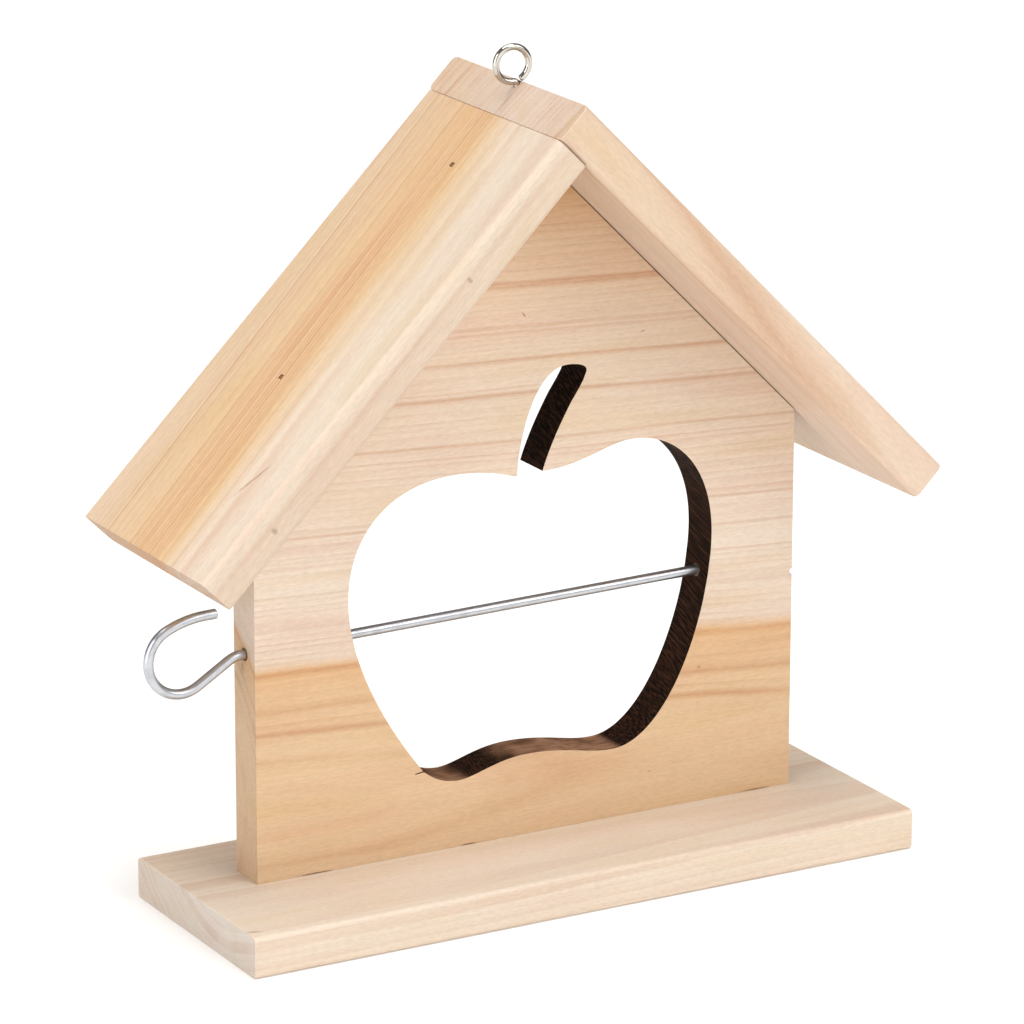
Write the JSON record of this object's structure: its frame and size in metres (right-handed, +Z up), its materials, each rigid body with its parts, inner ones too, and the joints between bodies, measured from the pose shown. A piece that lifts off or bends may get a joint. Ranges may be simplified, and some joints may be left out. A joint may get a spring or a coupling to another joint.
{
  "type": "hanging apple bird feeder",
  "caption": "Gabled softwood house front on a base board, with an apple-shaped cut-out crossed by a sliding wire skewer and a screw eye at the ridge to hang it by.",
  "frame": {"origin": "centre of the base board's underside, on the surface the feeder stands on", "axes": "+Z up to the ridge, +X along the base board to the right as seen from the front, -Y towards the front"},
  "size_m": [0.2434, 0.0834, 0.2491],
  "materials": {
    "pale_softwood": "planed, bare",
    "warm_softwood": "planed, bare",
    "zinc_wire": "bright zinc-plated wire",
    "nickel_wire": "polished nickel plate",
    "bright_steel": "bright steel"
  },
  "bodies": {
    "house": {"base_board": "pale_softwood", "house_panel": "warm_softwood", "roof_board_left": "warm_softwood", "roof_board_right": "pale_softwood", "screw_eye": "nickel_wire", "base_screw_left": "bright_steel", "base_screw_right": "bright_steel", "roof_brad_left_upper": "bright_steel", "roof_brad_left_lower": "bright_steel", "roof_brad_right_upper": "bright_steel", "roof_brad_right_lower": "bright_steel", "ridge_brad_front": "bright_steel", "ridge_brad_back": "bright_steel"},
    "skewer": {"skewer": "zinc_wire"}
  },
  "joints": [
    {"name": "skewer_slide", "type": "slide", "parent": "house", "child": "skewer", "axis": [-0.9998, 0, -0.0175], "range_m": [0, 0.155]}
  ]
}
